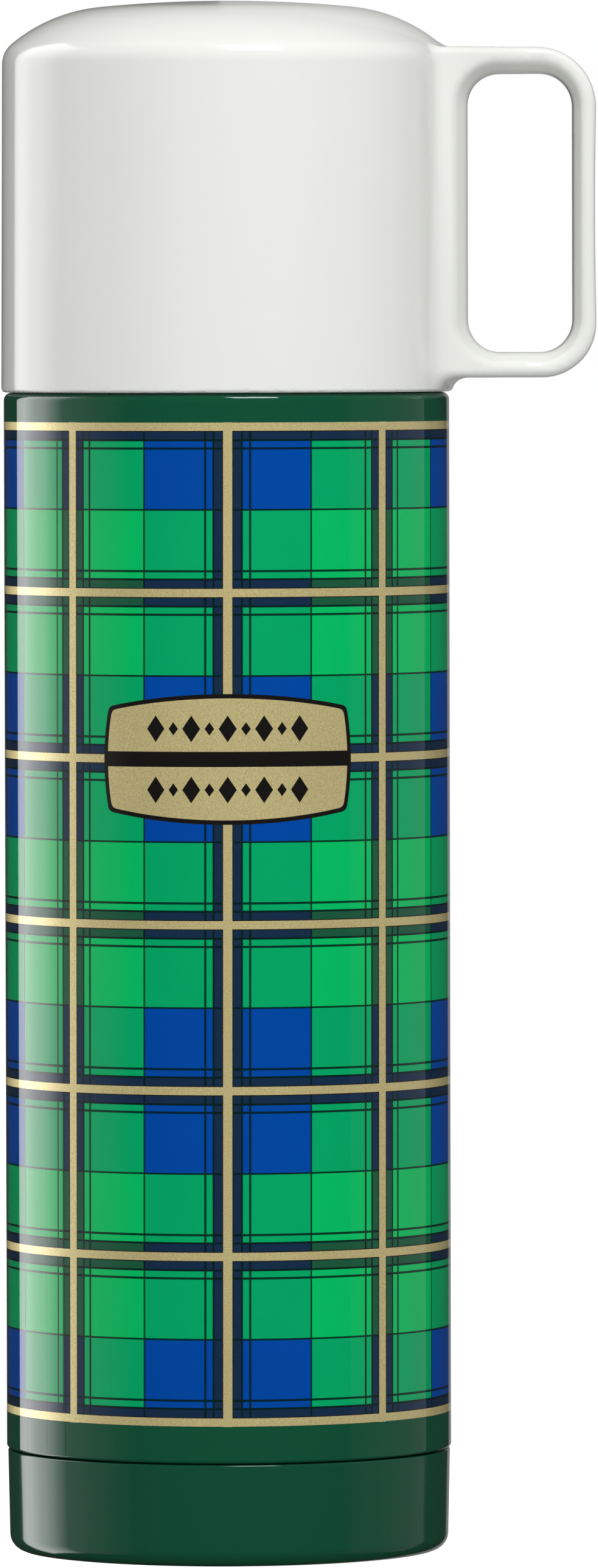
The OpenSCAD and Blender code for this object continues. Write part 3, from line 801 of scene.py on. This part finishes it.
def make_gloss_plastic(name, colour, roughness, variation=0.06, shine=0.5):
    """Moulded gloss plastic: faint cloudiness in the colour, fine wear in the gloss, soft waviness."""
    material, tree, shader, place = new_material(name, specular_ior_level=shine)
    clouds = noise(tree, place, 0.04, detail=3.0)
    specks = noise(tree, place, 1.5, detail=2.0)
    mixed = layered(tree, colour, darkened(colour, variation), clouds)
    tree.links.new(mixed, shader.inputs["Base Color"])
    wear = clouds * 0.5 + specks * 0.5
    tree.links.new(between(wear, roughness * 0.75, roughness * 1.3).socket, shader.inputs["Roughness"])
    waves = noise(tree, place, 0.12, detail=1.0)
    bumped(tree, shader, waves, 0.024, 0.5)
    return material


def make_satin_plastic(name, colour):
    """Moulded satin plastic with a fine spark-eroded grain."""
    material, tree, shader, place = new_material(name, specular_ior_level=0.45)
    grain = noise(tree, place, 4.0, detail=3.0, roughness=0.6)
    clouds = noise(tree, place, 0.05, detail=3.0)
    tree.links.new(layered(tree, colour, darkened(colour, 0.08), clouds), shader.inputs["Base Color"])
    tree.links.new(between(grain, 0.35, 0.55).socket, shader.inputs["Roughness"])
    bumped(tree, shader, grain, 0.02, 0.35)
    return material


def make_rubber(name, colour):
    """Matt moulded silicone."""
    material, tree, shader, place = new_material(
        name, specular_ior_level=0.4, sheen_weight=0.15, sheen_roughness=0.5)
    grain = noise(tree, place, 2.5, detail=3.0)
    tree.links.new(layered(tree, colour, darkened(colour, 0.12), grain), shader.inputs["Base Color"])
    tree.links.new(between(grain, 0.5, 0.68).socket, shader.inputs["Roughness"])
    bumped(tree, shader, grain, 0.03, 0.3)
    return material


def make_metal(name, colour, roughness, stretch, per_mm, relief):
    """Metal with brushing, drawing or crinkle marks, set by how the noise is stretched."""
    material, tree, shader, place = new_material(name, metallic=1.0)
    marks = noise(tree, place, per_mm, detail=4.0, stretch=stretch, roughness=0.65)
    stains = noise(tree, place, 0.08, detail=3.0)
    tree.links.new(layered(tree, colour, darkened(colour, 0.2), marks * 0.6 + stains * 0.4),
                   shader.inputs["Base Color"])
    tree.links.new(between(marks, roughness * 0.7, roughness * 1.4).socket, shader.inputs["Roughness"])
    bumped(tree, shader, marks, relief, 0.4)
    return material


def make_materials():
    """One material for each slot of the record."""
    steel = srgb(196, 198, 200)
    return {
        "green_plastic": make_gloss_plastic("green_plastic", srgb(20, 80, 56), 0.10),
        "printed_steel": make_printed_steel(),
        "bare_steel": make_metal("bare_steel", steel, 0.3, (1, 1, 12), 0.5, 0.01),
        "braze": make_metal("braze", srgb(176, 160, 128), 0.45, (1, 1, 1), 1.5, 0.05),
        "copper": make_metal("copper", srgb(214, 134, 96), 0.22, (1, 1, 0.6), 0.3, 0.25),
        "silicone": make_rubber("silicone", srgb(206, 208, 204)),
        "cup_plastic": make_gloss_plastic(
            "cup_plastic", srgb(238, 239, 234), 0.10, variation=0.02, shine=0.4),
        "stopper_plastic": make_satin_plastic("stopper_plastic", srgb(222, 222, 216)),
        "button_plastic": make_gloss_plastic("button_plastic", srgb(20, 76, 54), 0.2),
        "spring_steel": make_metal("spring_steel", steel, 0.22, (1, 1, 3), 2.0, 0.005),
    }


# ---- putting the pieces on the frame ----

def slot_of(node):
    """The record's material slot of a CAD node."""
    return next(part["material_slot"] for part in frame["record"]["subparts"] if part["node"] == node)


def place_piece(piece, body, node, materials):
    """The piece rides on a body, stands for a CAD node and takes that node's slot and material."""
    slot = slot_of(node)
    piece.data.materials.clear()
    piece.data.materials.append(materials[slot])
    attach(piece, body)
    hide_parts(node)


def body_of(node):
    """The body that a node belongs to."""
    return frame["nodes"][node]["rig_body"]


materials = make_materials()
cup_reach, collar_reach, stopper_reach = CUP_R + 0.6, 35.5, 31
cover_low_z = 200.5
fine, coarse = 0.5, 0.8
pieces = {
    "outer_shell": make_outer_shell(),
    "base_cap": make_base_cap(),
    "collar": from_field("collar_moulding", collar_field,
                         (-collar_reach, -collar_reach, COLLAR_LOW_Z - 1),
                         (collar_reach, collar_reach, COLLAR_HIGH_Z + 1), fine),
    "cup": from_field("cup_and_handle", cup_field, (-cup_reach, -cup_reach, CUP_LOW_Z - 1),
                      (HANDLE_X + 1, cup_reach, CUP_HIGH_Z + 1), coarse),
    "stopper_body": from_field("stopper_barrel", stopper_field,
                               (-stopper_reach, -stopper_reach, SEAT_Z - 1),
                               (stopper_reach, stopper_reach, RIM_HIGH_Z + 1), fine),
    "stopper_cover": from_field("stopper_top", cover_field,
                                (-stopper_reach, -stopper_reach, cover_low_z),
                                (stopper_reach, stopper_reach, RIM_HIGH_Z + 8), fine),
    "pour_button": make_button(),
    "stopper_gasket": make_gasket(),
    "neck_ring": make_neck_ring(),
}
for node, piece in pieces.items():
    place_piece(piece, body_of(node), node, materials)

for node, shape in frame["nodes"].items():
    if node not in pieces:
        shape.data.materials.clear()
        shape.data.materials.append(materials[slot_of(node)])


# ---- studio ----

def direction(azimuth, elevation):
    """A unit vector. Azimuth 0 is the camera's side, and 90 is the handle's side."""
    a, e = math.radians(azimuth), math.radians(elevation)
    return Vector((math.sin(a) * math.cos(e), -math.cos(a) * math.cos(e), math.sin(e)))


def add_softbox(name, azimuths, elevation, distance, height, strength, fade=(1, 1),
                mirrored=True, lit=True):
    """A rectangular light aimed at the flask, between two azimuths as the flask sees it. Fade is its
    share of the strength at the first azimuth and at the second. A light that isn't mirrored only
    brightens the flask, and one that isn't lit is only mirrored in it. Distance and height are in
    metres."""
    middle = Vector((0, 0, 0.13))
    half_angle = math.radians(azimuths[1] - azimuths[0]) / 2
    light = bpy.data.lights.new(name, "AREA")
    light.shape = "RECTANGLE"
    light.size = 2 * distance * math.tan(half_angle)
    light.size_y = height
    light.energy = strength * light.size * height * math.pi
    light.use_nodes = True
    tree = light.node_tree
    where = tree.nodes.new("ShaderNodeNewGeometry")
    split = tree.nodes.new("ShaderNodeSeparateXYZ")
    ease = tree.nodes.new("ShaderNodeMapRange")
    tree.links.new(where.outputs["Parametric"], split.inputs[0])
    tree.links.new(split.outputs["X"], ease.inputs["Value"])
    ease.inputs["To Min"].default_value = fade[0]
    ease.inputs["To Max"].default_value = fade[1]
    tree.links.new(ease.outputs[0], tree.nodes["Emission"].inputs["Strength"])
    box = bpy.data.objects.new(name, light)
    box.location = middle + direction(sum(azimuths) / 2, elevation) * distance
    box.rotation_euler = (middle - box.location).to_track_quat("-Z", "Y").to_euler()
    box.visible_camera = False
    box.visible_glossy = mirrored
    box.visible_diffuse = lit
    bpy.context.scene.collection.objects.link(box)


def add_world():
    """White behind the flask to the camera, and a dim room to everything else."""
    world = bpy.data.worlds.new("studio")
    bpy.context.scene.world = world
    world.use_nodes = True
    tree = world.node_tree
    rays = tree.nodes.new("ShaderNodeLightPath")
    backdrop = tree.nodes["Background"]
    backdrop.inputs["Color"].default_value = (0.03, 0.03, 0.03, 1)
    white = tree.nodes.new("ShaderNodeBackground")
    white.inputs["Color"].default_value = (1, 1, 1, 1)
    mix = tree.nodes.new("ShaderNodeMixShader")
    tree.links.new(rays.outputs["Is Camera Ray"], mix.inputs[0])
    tree.links.new(backdrop.outputs[0], mix.inputs[1])
    tree.links.new(white.outputs[0], mix.inputs[2])
    tree.links.new(mix.outputs[0], tree.nodes["World Output"].inputs["Surface"])


def add_floor():
    """A pale floor that blends into the white behind it."""
    bpy.ops.mesh.primitive_plane_add(size=8)
    floor = bpy.context.object
    floor.name = "studio_floor"
    material = bpy.data.materials.new("pale_floor")
    material.use_nodes = True
    tree = material.node_tree
    tree.nodes.remove(tree.nodes["Principled BSDF"])
    paint = tree.nodes.new("ShaderNodeBsdfDiffuse")
    paint.inputs["Color"].default_value = (0.5, 0.5, 0.5, 1)
    glow = tree.nodes.new("ShaderNodeEmission")
    rays = tree.nodes.new("ShaderNodeLightPath")
    glow.inputs["Color"].default_value = (1, 1, 1, 1)
    tree.links.new(rays.outputs["Is Camera Ray"], glow.inputs["Strength"])
    add = tree.nodes.new("ShaderNodeAddShader")
    tree.links.new(paint.outputs[0], add.inputs[0])
    tree.links.new(glow.outputs[0], add.inputs[1])
    tree.links.new(add.outputs[0], tree.nodes["Material Output"].inputs["Surface"])
    floor.data.materials.append(material)
    floor.visible_glossy = False


def add_camera():
    """A long lens in front, a little above the flask's middle, rolled by the photograph's slight tilt."""
    camera_data = bpy.data.cameras.new("camera")
    camera_data.lens = 315.5
    camera_data.sensor_width = 36
    camera_data.clip_end = 20
    camera = bpy.data.objects.new("camera", camera_data)
    camera.location = (0, -2.283, 0.205)
    aim = Vector((0.0119, 0, 0.1273)) - camera.location
    turned = aim.to_track_quat("-Z", "Y").to_matrix().to_4x4()
    roll = Matrix.Rotation(-PRINT_SLOPE, 4, "Z")
    camera.matrix_world = Matrix.Translation(camera.location) @ turned @ roll
    bpy.context.scene.collection.objects.link(camera)
    bpy.context.scene.camera = camera


def add_lights():
    """Tall softboxes on both sides that the flask mirrors, a small one high in front, and broad
    ones that only brighten it."""
    for name, azimuths, fade, lit in (
            ("left_edge", (-138, -128), (2.0, 3.5), False),
            ("left_strip", (-128, -108), (3.5, 2.9), True),
            ("left_slope", (-108, -93), (2.9, 0.6), False),
            ("left_fill", (-93, -50), (0.6, 0.0), True),
            ("right_fill", (65, 123), (0.08, 0.28), True)):
        add_softbox(name, azimuths, elevation=3, distance=1.2, height=2.2, strength=1.0,
                    fade=fade, lit=lit)
    add_softbox("back_edge", (160, 180), elevation=3, distance=1.4, height=2.2, strength=0.3)
    add_softbox("key_window", (9, 28), elevation=57, distance=1.5, height=0.6, strength=12.0)
    for name, azimuths, elevation, distance, height, strength in (
            ("front_fill", (-32, 38), 12, 2.0, 1.6, 2.0),
            ("side_fill", (70, 110), 15, 2.0, 1.4, 0.5),
            ("overhead_fill", (-30, 30), 86, 1.5, 1.0, 0.68)):
        add_softbox(name, azimuths, elevation, distance, height, strength, mirrored=False)


add_world()
add_floor()
add_camera()
add_lights()
bpy.context.scene.view_settings.view_transform = "Standard"
